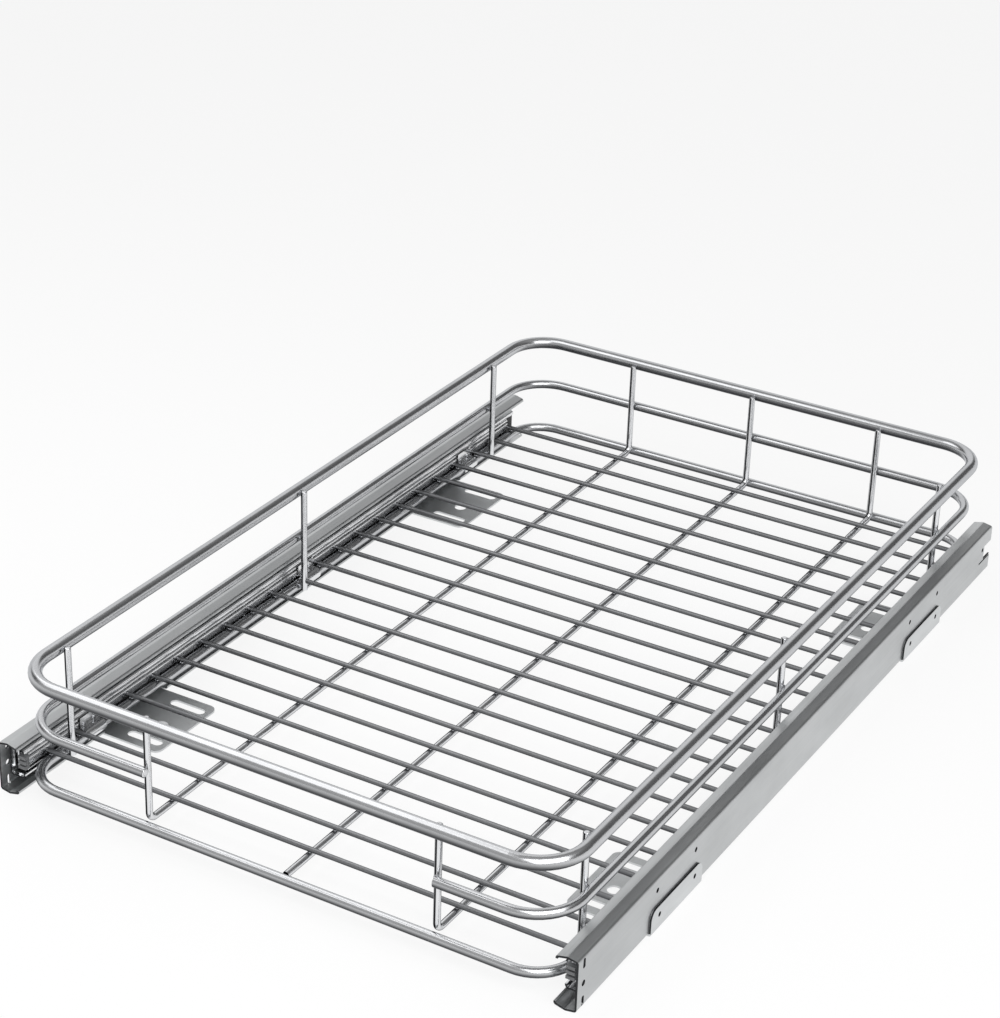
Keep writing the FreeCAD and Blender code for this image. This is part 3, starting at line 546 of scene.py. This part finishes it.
def softbox(name, place, facing, size, level):
    # The power grows with the area, so the level alone sets how bright the lamp looks
    lamp = bpy.data.lights.new(name, "AREA")
    lamp.shape = "RECTANGLE"
    lamp.size, lamp.size_y = size
    lamp.energy = level * math.pi * size[0] * size[1]
    box = bpy.data.objects.new(name, lamp)
    bpy.context.scene.collection.objects.link(box)
    box.location = place
    box.rotation_euler = Vector(facing).to_track_quat("-Z", "Y").to_euler()
    box.visible_camera = False


def studio_walls():
    # Pale near the floor and dark above it, with a grey screen in front of the shelf and a
    # white one behind it on the left
    world = bpy.data.worlds.new("studio")
    bpy.context.scene.world = world
    world.use_nodes = True
    tree = world.node_tree
    tree.nodes.clear()
    place = add(tree, "ShaderNodeTexCoord")
    split = add(tree, "ShaderNodeSeparateXYZ", {"Vector": place.outputs["Generated"]})
    ramp = add(tree, "ShaderNodeValToRGB", {"Fac": split.outputs["Z"]})
    elements = ramp.color_ramp.elements
    for element, (height, shade) in zip(elements, (WALLS[0], WALLS[-1])):
        element.position, element.color = height, colour(shade)
    for height, shade in WALLS[1:-1]:
        elements.new(height).color = colour(shade)
    seen = ramp.outputs["Color"]
    for towards, edge, shade in SCREENS:
        facing = add(tree, "ShaderNodeVectorMath",
                     {0: place.outputs["Generated"], 1: Vector(towards).normalized()},
                     operation="DOT_PRODUCT")
        part = add(tree, "ShaderNodeMapRange",
                   {"Value": facing.outputs["Value"], "From Min": edge[0],
                    "From Max": edge[1]}, interpolation_type="SMOOTHSTEP")
        seen = add(tree, "ShaderNodeMix",
                   {"Factor": part.outputs["Result"], MIX_A: seen, MIX_B: colour(shade)},
                   data_type="RGBA").outputs[MIX_RESULT]
    light = add(tree, "ShaderNodeBackground", {"Color": seen, "Strength": 1.0})
    add(tree, "ShaderNodeOutputWorld", {"Surface": light.outputs["Background"]})


def camera():
    data = bpy.data.cameras.new("camera")
    data.sensor_width = CAMERA_SENSOR
    data.lens = CAMERA_LENS
    data.shift_x = CAMERA_SHIFT
    data.clip_start = CAMERA_NEAR
    data.clip_end = CAMERA_FAR
    made = bpy.data.objects.new("camera", data)
    bpy.context.scene.collection.objects.link(made)
    made.location = CAMERA_PLACE
    made.rotation_euler = [math.radians(angle) for angle in CAMERA_TURN]
    bpy.context.scene.camera = made


studio_floor()
for lamp_settings in SOFTBOXES:
    softbox(*lamp_settings)
studio_walls()
camera()
bpy.context.scene.view_settings.view_transform = "Standard"
